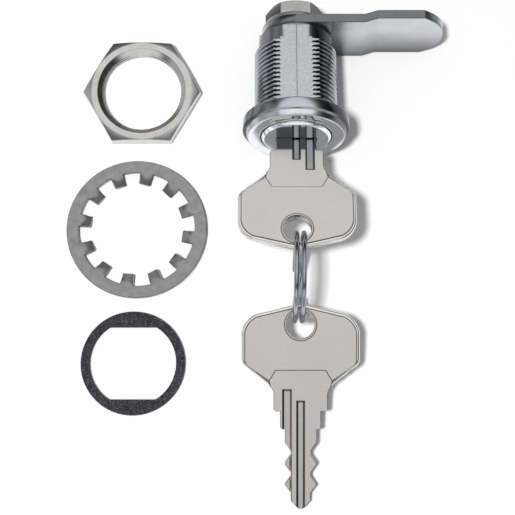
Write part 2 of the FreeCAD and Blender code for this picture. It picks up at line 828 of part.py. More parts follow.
def make_gasket():
    body = new_body("panel_gasket")
    flat = "gasket_flats / 2"
    edge = f"sqrt(gasket_hole_radius * gasket_hole_radius - {flat} * {flat})"
    hole = [(edge, f"-{flat}"), ("gasket_hole_radius", "0", "via"), (edge, flat)]
    hole = hole + [(f"-{edge}", flat), ("-gasket_hole_radius", "0", "via"), (f"-{edge}", f"-{flat}")]
    sketch = new_sketch(body, "gasket_outline", "XY_Plane")
    ring_line(sketch, "gasket_radius")
    outline(sketch, hole)
    pad(body, sketch, "gasket_thickness")
    return body


# Build every piece
cam_washer_seat = "plug_end + stop_washer_thickness + cam_thickness"
wafers = [make_wafer(number) for number in range(int(value("wafer_count")))]
springs = [make_wafer_spring(number) for number in range(int(value("wafer_count")))]
lock_pieces = [
    make_housing(),
    make_plug(),
    make_stop_washer(),
    make_cam(),
    make_cam_spring_washer(),
    make_nut(
        "cam_nut", "cam_nut_width", "cam_nut_height", "(stud_radius + stud_gap)",
        f"({cam_washer_seat} + cam_washer_thickness)", "stud_countersink",
    ),
    *wafers,
    *springs,
]
main_key = make_key("main_key")
spare_key = make_key("spare_key")
split_ring = make_split_ring()
panel_nut = make_nut(
    "panel_nut", "panel_nut_width", "panel_nut_height", "panel_nut_bore", "0", "panel_nut_countersink"
)
lock_washer = make_lock_washer()
gasket = make_gasket()
doc.recompute()

# Where each piece lies. The lock rests on its flange's rim and on the cam's lower rear edge.
x_axis, z_axis = Vector(1, 0, 0), Vector(0, 0, 1)
rear_rest = value("plug_end + stop_washer_thickness + cam_thickness + joggle_rise")
lie = math.atan((value("flange_radius") - value("cam_half_width")) / rear_rest)
axis_height = value("flange_radius") * math.cos(lie)
lock_place = Placement(Vector(0, 0, axis_height), Rotation(x_axis, -90 - math.degrees(lie)))
for piece in lock_pieces:
    piece.Placement = lock_place

key_turn = Rotation(x_axis, -math.degrees(lie)).multiply(Rotation(z_axis, 180))
key_base = lock_place.multVec(Vector(0, 0, value("key_tip_depth")))
main_key.Placement = Placement(key_base, key_turn)
main_cross = main_key.Placement.multVec(Vector(0, value("ring_cross"), 0))

dip = math.radians(value("ring_dip"))
ring_radius = value("ring_radius")
ring_centre = main_cross - Vector(0, math.cos(dip), math.sin(dip)) * ring_radius
ring_centre.x = value("ring_offset")
ring_turn = Rotation(z_axis, -value("ring_lean")).multiply(Rotation(Vector(0, 1, 0), 90))
split_ring.Placement = Placement(ring_centre, ring_turn)

lean = math.radians(value("spare_lean"))
spare_height = value("key_thickness") / 2 * math.cos(lean)
cross_height = spare_height + value("spare_cross") * math.sin(lean) - ring_centre.z
cross_reach = math.sqrt(ring_radius ** 2 - cross_height ** 2)
tip_y = ring_centre.y - cross_reach - value("spare_cross") * math.cos(lean)
spare_place = Vector(value("spare_offset"), tip_y, spare_height)
spare_key.Placement = Placement(spare_place, Rotation(x_axis, value("spare_lean")))

panel_nut.Placement.Base = Vector(-value("nut_left"), value("nut_up"), 0)
lock_washer_drop = -lock_washer.Shape.BoundBox.ZMin
washer_place = Vector(-value("washer_left"), -value("washer_down"), lock_washer_drop)
lock_washer.Placement.Base = washer_place
gasket.Placement.Base = Vector(-value("gasket_left"), -value("gasket_down"), 0)

# The frame's origin is on the table, under the middle of everything
pieces = lock_pieces + [main_key, split_ring, spare_key, panel_nut, lock_washer, gasket]
box = Part.makeCompound([piece.Shape for piece in pieces]).optimalBoundingBox(False, False)
middle = Vector((box.XMin + box.XMax) / 2, (box.YMin + box.YMax) / 2, 0)
for piece in pieces:
    piece.Placement.Base = piece.Placement.Base - middle
doc.recompute()

print("lie angle", round(math.degrees(lie), 4))
print("lock seat", lock_place.Base - middle)
print("main key crossing", main_cross - middle)
print("ring centre", ring_centre - middle)
print("spare key crossing", ring_centre - middle + Vector(0, -cross_reach, cross_height))

for item in doc.Objects:
    if "Invalid" in item.State or "Error" in item.State:
        raise RuntimeError(f"{item.Name} failed: {item.State}")
for piece in pieces:
    if piece.Shape.isNull() or not piece.Shape.isValid():
        raise RuntimeError(f"{piece.Label} has no valid shape")
    print(piece.Label, len(piece.Shape.Solids), round(piece.Shape.Volume, 1))

os.makedirs("parts", exist_ok=True)
for piece in pieces:
    piece.Shape.exportStep(f"parts/{piece.Label}.step")
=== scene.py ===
import json
import math

import bmesh
import bpy
from mathutils import Matrix, Vector


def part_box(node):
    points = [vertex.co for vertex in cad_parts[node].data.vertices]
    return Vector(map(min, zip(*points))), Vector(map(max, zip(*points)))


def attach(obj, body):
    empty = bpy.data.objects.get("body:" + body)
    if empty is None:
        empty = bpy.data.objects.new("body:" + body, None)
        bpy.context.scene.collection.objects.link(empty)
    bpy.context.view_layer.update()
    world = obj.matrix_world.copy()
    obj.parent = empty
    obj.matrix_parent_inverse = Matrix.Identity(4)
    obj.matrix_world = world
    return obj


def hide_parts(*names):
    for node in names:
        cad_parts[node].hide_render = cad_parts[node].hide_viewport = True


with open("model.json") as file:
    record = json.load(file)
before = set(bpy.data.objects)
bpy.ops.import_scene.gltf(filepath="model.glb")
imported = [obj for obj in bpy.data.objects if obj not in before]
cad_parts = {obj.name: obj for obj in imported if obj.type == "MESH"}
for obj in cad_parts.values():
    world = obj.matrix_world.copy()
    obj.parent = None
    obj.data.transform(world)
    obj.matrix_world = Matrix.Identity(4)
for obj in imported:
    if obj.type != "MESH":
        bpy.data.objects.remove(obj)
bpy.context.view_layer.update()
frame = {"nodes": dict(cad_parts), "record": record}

# Lengths below are millimetres; the scene is in metres
MM = 0.001
TURN = 2 * math.pi
JOINTS = {joint["name"]: joint for joint in frame["record"]["behaviour"]["joints"]}

# The lock's frame, with its origin in the flange's seat, Z towards the cam and Y down
SEAT = Vector(JOINTS["plug_turn"]["pos_m"]) / MM
AXIS = -Vector(JOINTS["plug_turn"]["axis"]).normalized()
ACROSS = Vector((1, 0, 0))
DOWN = AXIS.cross(ACROSS)
LOCK = Matrix.Translation(SEAT) @ Matrix((ACROSS, DOWN, AXIS)).transposed().to_4x4()

# Sizes of the housing's head, from the seat forwards
FLANGE_RADIUS, FLANGE_EDGE, FLANGE_DRAFT = 12.25, 2.65, 0.12
SHOULDER_RADIUS, SHOULDER_DEPTH = 11.5, 2.85
BEZEL_RADIUS, BEZEL_DEPTH = 11.1, 4.07
HEAD_OPENING, HEAD_SEAT, HEAD_ROUND = 8.2, -2.0, 0.28

# Sizes of the barrel with its thread, its two flats and their seams. The profile gives places
# along one pitch, each with its depth, as shares of the pitch and of the thread's height
THREAD_CREST, THREAD_ROOT, THREAD_PITCH = 9.5, 8.72, 1.13
THREAD_START, THREAD_END, THREAD_ROWS = 0.7, 17.2, 17
THREAD_PROFILE = (
    (0.0, 1.0), (0.12, 1.0), (0.23, 0.5), (0.35, 0.0), (0.63, 0.0), (0.75, 0.5), (0.88, 1.0),
)
BARREL_LENGTH, BARREL_STEP = 17.7, 0.05
FLAT, SEAM_HALF, SEAM_HEIGHT = 8.0, 0.10, 0.05

# Sizes of the collar, the stop sector, the plug's bore and the wafers' channels. Each end of the
# sector rises within twice the angle STOP_WALL, in radians
COLLAR_RADIUS, COLLAR_END, COLLAR_BORE, COLLAR_BREAK = 8.5, 20.9, 7.1, 0.15
STOP_SEAT, STOP_RISE, STOP_WALL = 20.0, 0.16, 0.0002
STOP_LOW, STOP_HIGH = math.radians(72.15), math.radians(197.85)
PLUG_BORE, CHANNEL_REACH, CHANNEL_HALF, CHANNEL_START = 6.5, 7.45, 2.75, 1.1

# Sizes of the panel nut, and the small steps that ease its corners and end its thread. Its
# profile gives places along one pitch as shares of it, each with its depth
NUT_WIDTH, NUT_HEIGHT, NUT_BORE, NUT_SINK = 24.0, 4.0, 9.3, 1.0
NUT_FACE, NUT_SLOPE, NUT_THREADS = 11.8, math.radians(28), 3
NUT_PROFILE = ((0.0, 0.0), (0.2, 0.0), (0.5, 0.55), (0.7, 0.55))
NUT_BREAK, NUT_LIP, NUT_LEAD, NUT_EASE, NUT_RUNOUT, NUT_FINE = 0.15, 0.12, 0.1, 0.08, 0.05, 0.03

# Sizes of the lock washer
WASHER_RADIUS, WASHER_INNER, WASHER_TIPS, WASHER_THICK = 16.3, 13.5, 10.75, 1.0
TOOTH_COUNT, TOOTH_PHASE, TOOTH_TWIST = 12, math.radians(21), math.radians(28)
TOOTH_ROOT, TOOTH_TIP, TOOTH_THIN = 3.1, 2.7, 0.94

# Sizes of the ring, the keys and the wafer springs. The ring's step takes RING_STEP of a turn, and
# a groove's floor lies at least GROOVE_LEAST under its key's highest face
RING_RADIUS, RING_WIRE, RING_LEAN = 9.8, 0.58, math.radians(1.2)
RING_PITCH, RING_TURNS, RING_STEP = 1.65, 1.9, 0.22
SPARE_LEAN, KEY_THICKNESS, BOW_LENGTH, GROOVE_LEAST = math.radians(12), 1.9, 18.6, 0.4
SPRING_RADIUS, SPRING_WIRE, SPRING_TURNS, SPRING_LENGTH = 0.65, 0.11, 3, 4.2
WAFERS = range(1, 6)

# Widths of the bevels, and how deep a wire's end is blunted as a share of its radius
BOW_ROUND, KEY_ROUND, WASHER_ROUND, BLUNT = 0.60, 0.11, 0.12, 0.18

# Slack in comparisons, the reach of the head's rounded corners, and the least a divisor may be
SLACK, FLAT_SLACK, ROUND_REACH, NEAR_ZERO = 0.02, 0.01, 0.3, 0.01

# How finely the turned and wound pieces are divided
HOUSING_COLUMNS, NUT_COLUMNS, ROUND_STEPS = 288, 240, 3
RING_POINTS, RING_SIDES, COIL_POINTS, COIL_SIDES = 160, 20, 24, 10


def centre(node):
    """The middle of a node's box, in millimetres."""
    low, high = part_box(node)
    return (Vector(low) + Vector(high)) / (2 * MM)


def eased(share):
    """A share that starts and stops gently on its way from 0 to 1."""
    return share * share * (3 - 2 * share)


# Meshes
def add_mesh(name, points, faces, place, sharp):
    """A mesh from millimetre points, with its seams merged and its edges sharp above an angle."""
    mesh = bpy.data.meshes.new(name)
    mesh.from_pydata([tuple((place @ Vector(point)) * MM) for point in points], [], faces)
    work = bmesh.new()
    work.from_mesh(mesh)
    bmesh.ops.remove_doubles(work, verts=work.verts, dist=1e-7)
    bmesh.ops.dissolve_degenerate(work, edges=work.edges, dist=1e-7)
    bmesh.ops.recalc_face_normals(work, faces=work.faces)
    work.to_mesh(mesh)
    work.free()
    mesh.polygons.foreach_set("use_smooth", [True] * len(mesh.polygons))
    mesh.set_sharp_from_angle(angle=math.radians(sharp))
    piece = bpy.data.objects.new(name, mesh)
    bpy.context.scene.collection.objects.link(piece)
    return piece


def lathe(name, angles, section, place, sharp):
    """A closed section turned about Z. The section may change with the angle."""
    points, faces = [], []
    for angle in angles:
        points += [(r * math.cos(angle), r * math.sin(angle), z) for r, z in section(angle)]
    rows = len(points) // len(angles)
    for column in range(len(angles) - 1):
        for row in range(rows):
            after = (row + 1) % rows
            low, high = column * rows, (column + 1) * rows
            faces.append((low + row, high + row, high + after, low + after))
    return add_mesh(name, points, faces, place, sharp)


def even_angles(count, extra=()):
    return sorted([TURN * index / count for index in range(count + 1)] + list(extra))


def softened(corners, radius):
    """A closed section with its corners rounded, except those marked as sharp by a third value."""
    smooth = []
    count = len(corners)
    for index, corner in enumerate(corners):
        here = Vector(corner[:2])
        if len(corner) > 2:
            smooth.append(tuple(here))
            continue
        before = Vector(corners[index - 1][:2]) - here
        after = Vector(corners[(index + 1) % count][:2]) - here
        cut = min(radius, before.length / 2.1, after.length / 2.1)
        start, end = here + before.normalized() * cut, here + after.normalized() * cut
        for step in range(ROUND_STEPS + 1):
            share = step / ROUND_STEPS
            smooth.append(tuple(start.lerp(here, share).lerp(here.lerp(end, share), share)))
    return smooth


def tube(name, points, radius, place, sides):
    """A round wire along points, with its ends rounded off."""
    stations = []
    for index, point in enumerate(points):
        way = points[min(index + 1, len(points) - 1)] - points[max(index - 1, 0)]
        stations.append((point, way.normalized(), radius))
    blunt = BLUNT * radius
    first, last = stations[0], stations[-1]
    stations[0] = (first[0] + first[1] * blunt, first[1], radius)
    stations[-1] = (last[0] - last[1] * blunt, last[1], radius)
    stations.insert(0, (first[0], first[1], radius - blunt))
    stations.append((last[0], last[1], radius - blunt))
    corners, faces = [], []
    for middle, way, size in stations:
        up = way.cross(Vector((middle.x, middle.y, 0))).normalized()
        out = up.cross(way)
        for side in range(sides):
            angle = TURN * side / sides
            corners.append(middle + (out * math.cos(angle) + up * math.sin(angle)) * size)
    for row in range(len(stations) - 1):
        for side in range(sides):
            after = (side + 1) % sides
            low, high = row * sides, (row + 1) * sides
            faces.append((low + side, low + after, high + after, high + side))
    faces.append(tuple(range(sides)))
    faces.append(tuple(range(len(corners) - sides, len(corners))))
    return add_mesh(name, corners, faces, place, sharp=50)


def winding(turns, radius, height):
    """A point on a winding about Z, after so many turns and at a height."""
    return Vector((radius * math.cos(TURN * turns), radius * math.sin(TURN * turns), height))


def soften(piece, width, segments, limit="ANGLE"):
    """Rounds a piece's sharp edges, or only those with a bevel weight."""
    bevel = piece.modifiers.new("soft_edges", "BEVEL")
    bevel.width = width * MM
    bevel.segments = segments
    bevel.use_clamp_overlap = False
    bevel.harden_normals = True
    bevel.limit_method = limit
    bevel.angle_limit = math.radians(30)
    return bevel


def join_faces(piece):
    """Merges the corners that a solid's faces share, so that its edges can be rounded."""
    joined = piece.modifiers.new("joined_faces", "WELD")
    joined.merge_threshold = 0.001 * MM


# Material nodes
class Look:
    """One procedural material. Its helpers add nodes and return the output to link."""

    def __init__(self, name):
        self.material = bpy.data.materials.new(name)
        self.material.use_nodes = True
        self.tree = self.material.node_tree
        self.shader = self.tree.nodes["Principled BSDF"]

    def add(self, kind, **settings):
        node = self.tree.nodes.new(kind)
        for key, setting in settings.items():
            setattr(node, key, setting)
        return node

    def join(self, source, target):
        self.tree.links.new(source, target)

    def spot(self):
        """Coordinates in millimetres that stay with the piece."""
        place = self.add("ShaderNodeTexCoord")
        stretch = self.add("ShaderNodeMapping")
        stretch.inputs["Scale"].default_value = (1 / MM, 1 / MM, 1 / MM)
        self.join(place.outputs["Object"], stretch.inputs["Vector"])
        return stretch.outputs["Vector"]

    def noise(self, size, detail=3):
        texture = self.add("ShaderNodeTexNoise")
        texture.inputs["Scale"].default_value = 1 / size
        texture.inputs["Detail"].default_value = detail
        texture.inputs["Roughness"].default_value = 0.55
        self.join(self.spot(), texture.inputs["Vector"])
        return texture.outputs["Fac"]

    def cells(self, size):
        texture = self.add("ShaderNodeTexVoronoi", feature="F1")
        texture.inputs["Scale"].default_value = 1 / size
        self.join(self.spot(), texture.inputs["Vector"])
        return texture.outputs["Distance"]

    def spread(self, source, low, high, floor=0.3, top=0.7):
        """A value between low and high, from a source between floor and top."""
        node = self.add("ShaderNodeMapRange")
        node.inputs["From Min"].default_value = floor
        node.inputs["From Max"].default_value = top
        node.inputs["To Min"].default_value = low
        node.inputs["To Max"].default_value = high
        self.join(source, node.inputs["Value"])
        return node.outputs["Result"]

    def blend(self, factor, first, second):
        """Two colours mixed by a factor, each a colour or an output."""
        node = self.add("ShaderNodeMix", data_type="RGBA")
        self.join(factor, node.inputs["Factor"])
        for socket, colour in ((node.inputs["A"], first), (node.inputs["B"], second)):
            if isinstance(colour, tuple):
                socket.default_value = (*colour, 1)
            else:
                self.join(colour, socket)
        return node.outputs["Result"]

    def math(self, operation, first, second):
        """Two values put together, each a number or an output."""
        node = self.add("ShaderNodeMath", operation=operation)
        for socket, part in zip(node.inputs, (first, second)):
            if isinstance(part, (int, float)):
                socket.default_value = part
            else:
                self.join(part, socket)
        return node.outputs["Value"]

    def measure(self, kind, axis):
        """The piece's own "Normal", or its "Object" place, measured along one axis."""
        turn = self.add("ShaderNodeVectorMath", operation="DOT_PRODUCT")
        turn.inputs[1].default_value = tuple(axis)
        self.join(self.add("ShaderNodeTexCoord").outputs[kind], turn.inputs[0])
        return turn.outputs["Value"]

    def off_seat(self, axis):
        """How far the piece's surface is from the lock's seat along one axis, either way."""
        beside = self.math("SUBTRACT", self.measure("Object", axis / MM), SEAT.dot(axis))
        return self.math("ABSOLUTE", beside, 0)

    def colour(self, source):
        self.join(source, self.shader.inputs["Base Color"])

    def rough(self, source):
        self.join(source, self.shader.inputs["Roughness"])

    def bump(self, *layers):
        """Height layers, each a pair of an output and its depth in millimetres."""
        under = None
        for source, depth in layers:
            node = self.add("ShaderNodeBump")
            node.inputs["Strength"].default_value = 1.0
            node.inputs["Distance"].default_value = depth * MM
            self.join(source, node.inputs["Height"])
            if under is not None:
                self.join(under, node.inputs["Normal"])
            under = node.outputs["Normal"]
        self.join(under, self.shader.inputs["Normal"])


# The dark tone of painted shade on metal, and where painted shade on turned faces and on oblique rims
# starts and is full
PAINTED_SHADE = (0.02, 0.022, 0.026)
TURNED_START, TURNED_FULL = 0.3, 0.64
OBLIQUE_START, OBLIQUE_FULL = 0.03, 0.2


def metal(name, light, dark, rough, patch, grain, shades=(), edge=None):
    """A plated metal with cloudy tone, cloudy polish and a fine grain of a size and depth.
    Each shade, an axis and a strength, paints shade on the plate where it faces that way. With
    edge, an axis and a strength, it paints shade where it is oblique to the axis, as on rounded rims."""
    look = Look(name)
    look.shader.inputs["Metallic"].default_value = 1.0
    cloud = look.noise(patch)
    tone = look.blend(look.spread(cloud, 0, 1), dark, light)
    # Painted shade where the surface faces along each shade's axis
    for axis, strength in shades:
        turned = look.spread(look.measure("Normal", axis), 0, strength, TURNED_START, TURNED_FULL)
        tone = look.blend(turned, tone, PAINTED_SHADE)
    # Painted shade on faces oblique to the edge's axis, as on rounded rims
    if edge:
        axis, strength = edge
        facing = look.math("ABSOLUTE", look.measure("Normal", axis), 0)
        band = look.math("MULTIPLY", facing, look.math("SUBTRACT", 1, facing))
        painted_rim_shade = look.spread(band, 0, strength, OBLIQUE_START, OBLIQUE_FULL)
        tone = look.blend(painted_rim_shade, tone, PAINTED_SHADE)
    look.tone = tone
    look.colour(tone)
    fine = look.noise(patch / 12, 4)
    mixed = look.math("ADD", look.math("MULTIPLY", cloud, 0.6), look.math("MULTIPLY", fine, 0.4))
    look.rough(look.spread(mixed, rough[0], rough[1]))
    size, depth = grain
    look.bump((look.noise(size, 4), depth))
    return look


# Metals of the housing: plate, casting on the flats, thread roots, the bezel's cone and its faces
CHROME_TONES = ((0.58, 0.61, 0.65), (0.51, 0.54, 0.58), (0.08, 0.18), 5.0, (0.35, 0.003))
# The plate has painted shade where it faces either side
chrome = metal("chrome_plate", *CHROME_TONES, ((ACROSS, 0.93), (-ACROSS, 0.74)))
cast = metal(
    "chrome_on_casting", (0.76, 0.77, 0.80), (0.56, 0.57, 0.60), (0.26, 0.38), 0.5, (0.20, 0.07),
)
# The roots' darker chrome is a painted shade in the thread's hollows
roots = metal(
    "chrome_in_roots", (0.25, 0.26, 0.28), (0.16, 0.17, 0.19), (0.18, 0.30), 5.0, (0.35, 0.005),
)
# The cone, the faces and the plug are lighter copies of the same chrome, a painted sheen, and the cone has
# painted shade at its sides
satin = metal(
    "satin_chrome", (0.84, 0.87, 0.92), (0.70, 0.73, 0.78), (0.14, 0.24), 1.5, (0.25, 0.012),
    ((ACROSS, 0.80), (-ACROSS, 0.40)),
)
bright = metal(
    "bright_chrome", (0.90, 0.93, 0.98), (0.82, 0.85, 0.90), (0.06, 0.14), 4.0, (0.35, 0.003),
)

# The shoulder between the flange's edge and the bezel's cone has painted shade at both sides
SIDE_START, SIDE_END = 4.0, 9.5
shoulder = metal("chrome_on_shoulder", *CHROME_TONES)
painted_side_shade = shoulder.spread(shoulder.off_seat(ACROSS), 0.0, 0.88, SIDE_START, SIDE_END)
shoulder.colour(shoulder.blend(painted_side_shade, shoulder.tone, PAINTED_SHADE))

# Metals of the other pieces
ZINC_TONES = ((0.66, 0.68, 0.70), (0.56, 0.58, 0.60), (0.22, 0.34), 5.0, (0.5, 0.012))
zinc = metal("satin_zinc", *ZINC_TONES)
# The cam has painted shade where it faces up or down, and on faces oblique to the lock's axis
cam_metal = metal("satin_zinc_cam", *ZINC_TONES, ((DOWN, 0.68), (-DOWN, 0.68)), (AXIS, 0.6))
# The cam nut has painted shade where it faces either side
cam_nut_metal = metal(
    "nickel_nut", (0.50, 0.49, 0.47), (0.40, 0.39, 0.37), (0.16, 0.28), 2.0, (0.4, 0.01),
    ((ACROSS, 0.88), (-ACROSS, 0.95)),
)
nickel = metal(
    "nickel_plate", (0.66, 0.65, 0.62), (0.56, 0.55, 0.52), (0.14, 0.24), 3.0, (0.3, 0.006),
)
wire = metal(
    "bright_wire", (0.44, 0.45, 0.48), (0.34, 0.35, 0.38), (0.08, 0.18), 2.0, (0.6, 0.003),
)
steel = metal(
    "plain_steel", (0.38, 0.375, 0.375), (0.27, 0.265, 0.265), (0.30, 0.44), 1.8, (0.3, 0.012),
)
# Darker steel for the washer's rounded edges, a painted shade
edge_shade_steel = metal(
    "steel_edges", (0.17, 0.165, 0.165), (0.11, 0.105, 0.105), (0.24, 0.36), 1.8, (0.3, 0.012),
)
brass = metal(
    "brass", (0.74, 0.58, 0.32), (0.64, 0.48, 0.24), (0.22, 0.34), 1.5, (0.3, 0.005),
)

# The cam's face has painted shade towards its lower edge
LOW_START, LOW_END = SEAT.dot(DOWN) - 2, SEAT.dot(DOWN) + 7
painted_low_shade = cam_metal.spread(cam_metal.measure("Object", DOWN / MM), 0, 0.80, LOW_START, LOW_END)
cam_metal.colour(cam_metal.blend(painted_low_shade, cam_metal.tone, PAINTED_SHADE))

# Metals of the keys: faces, groove floors darker as painted shade, the bow's rim lighter as a painted
# highlight and the lines where faces meet darker as painted shade
SPARE_ALONG = Vector((0, math.cos(SPARE_LEAN), math.sin(SPARE_LEAN)))
SPARE_UP = ACROSS.cross(SPARE_ALONG)
KEY_TONES = ((0.65, 0.625, 0.595), (0.61, 0.585, 0.555), (0.24, 0.30), 9.0, (0.6, 0.0004))
# Both keys have painted shade where their faces turn oblique to the key's up
key_metal = metal("key_nickel", *KEY_TONES, (), (SPARE_UP, 0.40))
key_with_painted_shadow = metal("key_nickel_in_plug", *KEY_TONES, (), (DOWN, 0.40))
groove = metal(
    "key_groove", (0.40, 0.41, 0.42), (0.33, 0.34, 0.35), (0.26, 0.34), 4.0, (0.5, 0.002),
)
pale_groove = metal(
    "pale_groove", (0.60, 0.585, 0.565), (0.53, 0.515, 0.495), (0.26, 0.34), 4.0, (0.5, 0.002),
)
rim_highlight = metal(
    "key_rim", (0.88, 0.86, 0.83), (0.80, 0.78, 0.75), (0.14, 0.22), 4.0, (0.5, 0.001),
)
lines = metal(
    "key_lines", (0.20, 0.19, 0.185), (0.14, 0.135, 0.13), (0.24, 0.32), 4.0, (0.5, 0.001),
)

# The key in the lock has a painted shadow between its neck and the plug's face, less of it in its grooves
NECK_END = SEAT.dot(AXIS) - 7.8
PAINTED_SHADOW = (0.08, 0.08, 0.085)
along_key = key_with_painted_shadow.measure("Object", AXIS / MM)
begun = key_with_painted_shadow.spread(along_key, 0.0, 1.0, NECK_END - 0.15, NECK_END + 0.35)
ended = key_with_painted_shadow.spread(along_key, 1.0, 0.0, NECK_END + 3.0, NECK_END + 5.8)
between = key_with_painted_shadow.math("MULTIPLY", begun, ended)
deep = key_with_painted_shadow.spread(key_with_painted_shadow.off_seat(DOWN), 0.25, 1.0, 0.6, 0.8)
key_with_painted_shadow.colour(key_with_painted_shadow.blend(key_with_painted_shadow.math("MULTIPLY", between, deep), key_with_painted_shadow.tone, PAINTED_SHADOW))

# Foam: dark and cloudy with pale specks at its cells
FOAM_DARK, FOAM_LIGHT, FOAM_SPECK = (0.018, 0.018, 0.022), (0.045, 0.045, 0.052), (0.34, 0.34, 0.36)
foam = Look("closed_cell_foam")
speck = foam.cells(0.34)
foam_cloud = foam.noise(1.6, 4)
foam_tone = foam.blend(foam.spread(foam_cloud, 0, 1), FOAM_DARK, FOAM_LIGHT)
foam.colour(foam.blend(foam.spread(speck, 1, 0, 0.04, 0.30), foam_tone, FOAM_SPECK))
foam.shader.inputs["Roughness"].default_value = 0.85
foam.bump((foam_cloud, 0.12), (speck, 0.10))

# Stage: the floor, in metres
FLOOR_HALF = 2.0
floor_mesh = bpy.data.meshes.new("floor")
floor_corners = [(x * FLOOR_HALF, y * FLOOR_HALF, 0) for x, y in ((-1, -1), (1, -1), (1, 1), (-1, 1))]
floor_mesh.from_pydata(floor_corners, [], [(0, 1, 2, 3)])
floor = bpy.data.objects.new("floor", floor_mesh)
bpy.context.scene.collection.objects.link(floor)
floor_look = Look("white_table")
floor_look.shader.inputs["Base Color"].default_value = (0.97, 0.97, 0.97, 1)
floor_look.shader.inputs["Roughness"].default_value = 0.9
floor_look.shader.inputs["Specular IOR Level"].default_value = 0.0
floor_mesh.materials.append(floor_look.material)

# The studio that glossy surfaces reflect: bands from low to high, and two panels
SKY_UP = (0, 0.26, 0.966)
SKY_LOW, SKY_HIGH = (0.55, 0.56, 0.58), (0.96, 0.96, 0.95)
SKY_BANDS = ((0.10, 0.28), (0.22, 0.04), (0.52, 0.05), (0.68, 0.24), (0.80, 0.90))
LEFT_PANEL, FRONT_PANEL = (0.55, 0.57, 0.60), (0.95, 0.96, 0.98)
AMBIENT = (0.32, 0.32, 0.325)
world = bpy.data.worlds.new("studio")
bpy.context.scene.world = world
world.use_nodes = True
nodes, links = world.node_tree.nodes, world.node_tree.links
sky = nodes["Background"]
direction = nodes.new("ShaderNodeTexCoord")
parts = nodes.new("ShaderNodeSeparateXYZ")
links.new(direction.outputs["Generated"], parts.inputs["Vector"])
tilt = nodes.new("ShaderNodeVectorMath")
tilt.operation = "DOT_PRODUCT"
tilt.inputs[1].default_value = SKY_UP
links.new(direction.outputs["Generated"], tilt.inputs[0])
height = nodes.new("ShaderNodeValToRGB")
links.new(tilt.outputs["Value"], height.inputs["Fac"])
ramp = height.color_ramp
ramp.elements[0].position, ramp.elements[0].color = 0.0, (*SKY_LOW, 1)
ramp.elements[1].position, ramp.elements[1].color = 1.0, (*SKY_HIGH, 1)
for position, tone in SKY_BANDS:
    ramp.elements.new(position).color = (tone, tone * 1.02, tone * 1.06, 1)


def window(source, start, end):
    """Rises from 0 to 1 as a direction's part goes from start to end."""
    node = nodes.new("ShaderNodeMapRange")
    node.inputs["From Min"].default_value = start
    node.inputs["From Max"].default_value = end
    links.new(source, node.inputs["Value"])
    return node.outputs["Result"]


def both(first, second):
    """The part where two windows overlap."""
    node = nodes.new("ShaderNodeMath")
    node.operation = "MULTIPLY"
    links.new(first, node.inputs[0])
    links.new(second, node.inputs[1])
    return node.outputs["Value"]


def over(factor, under, colour):
    """A colour laid over another by a factor."""
    node = nodes.new("ShaderNodeMix")
    node.data_type = "RGBA"
    links.new(factor, node.inputs["Factor"])
    links.new(under, node.inputs["A"])
    node.inputs["B"].default_value = (*colour, 1)
    return node.outputs["Result"]


left = window(parts.outputs["X"], -0.62, -0.80)
front = both(window(parts.outputs["Y"], -0.58, -0.68), window(parts.outputs["Z"], 0.34, 0.42))
studio = over(left, height.outputs["Color"], LEFT_PANEL)
studio = over(front, studio, FRONT_PANEL)
path = nodes.new("ShaderNodeLightPath")
plain = nodes.new("ShaderNodeMix")
plain.data_type = "RGBA"
links.new(path.outputs["Is Glossy Ray"], plain.inputs["Factor"])
plain.inputs["A"].default_value = (*AMBIENT, 1)
links.new(studio, plain.inputs["B"])
backdrop = over(path.outputs["Is Camera Ray"], plain.outputs["Result"], (1, 1, 1))
links.new(backdrop, sky.inputs["Color"])

# The lamp, in metres and watts, aimed at the middle of the floor
LAMP_PLACE, LAMP_SIZE, LAMP_POWER = Vector((-0.16, -0.14, 0.80)), 0.10, 5.5
lamp = bpy.data.lights.new("key_light", "AREA")
lamp.shape = "DISK"
lamp.size = LAMP_SIZE
lamp.energy = LAMP_POWER
key_light = bpy.data.objects.new("key_light", lamp)
key_light.location = LAMP_PLACE
key_light.rotation_euler = (-LAMP_PLACE).to_track_quat("-Z", "Y").to_euler()
key_light.visible_glossy = False
bpy.context.scene.collection.objects.link(key_light)

# The camera, fitted to the photograph: its distance in metres, its focal length and centre in pixels
CAMERA_DISTANCE, CAMERA_ELEVATION = 0.353, math.radians(78.0)
PHOTO_SIZE, FOCAL_PIXELS, VIEW_CENTRE, SENSOR = 515, 1518, (255.4, 256.1), 36
camera_data = bpy.data.cameras.new("camera")
camera = bpy.data.objects.new("camera", camera_data)
camera.location = (
    0,
    -CAMERA_DISTANCE * math.cos(CAMERA_ELEVATION),
    CAMERA_DISTANCE * math.sin(CAMERA_ELEVATION),
)
camera.rotation_euler = (math.pi / 2 - CAMERA_ELEVATION, 0, 0)
camera_data.sensor_width = SENSOR
camera_data.lens = FOCAL_PIXELS / PHOTO_SIZE * SENSOR
camera_data.shift_x = (PHOTO_SIZE / 2 - VIEW_CENTRE[0]) / PHOTO_SIZE
camera_data.shift_y = (VIEW_CENTRE[1] - PHOTO_SIZE / 2) / PHOTO_SIZE
camera_data.clip_start = 0.01
bpy.context.scene.collection.objects.link(camera)
bpy.context.scene.camera = camera
bpy.context.scene.view_settings.view_transform = "Standard"


# Housing: one turned skin with a helical thread, two cast flats and a parting seam on each
def flatten(radius, angle):
    """A radius cut back to the flats, with the casting's seam standing on their middles."""
    rise = abs(math.sin(angle))
    if radius * rise <= FLAT:
        return radius
    across = FLAT / rise * abs(math.cos(angle))
    seam = SEAM_HEIGHT * max(0.0, 1 - (across / SEAM_HALF) ** 2)
    return (FLAT + seam) / rise


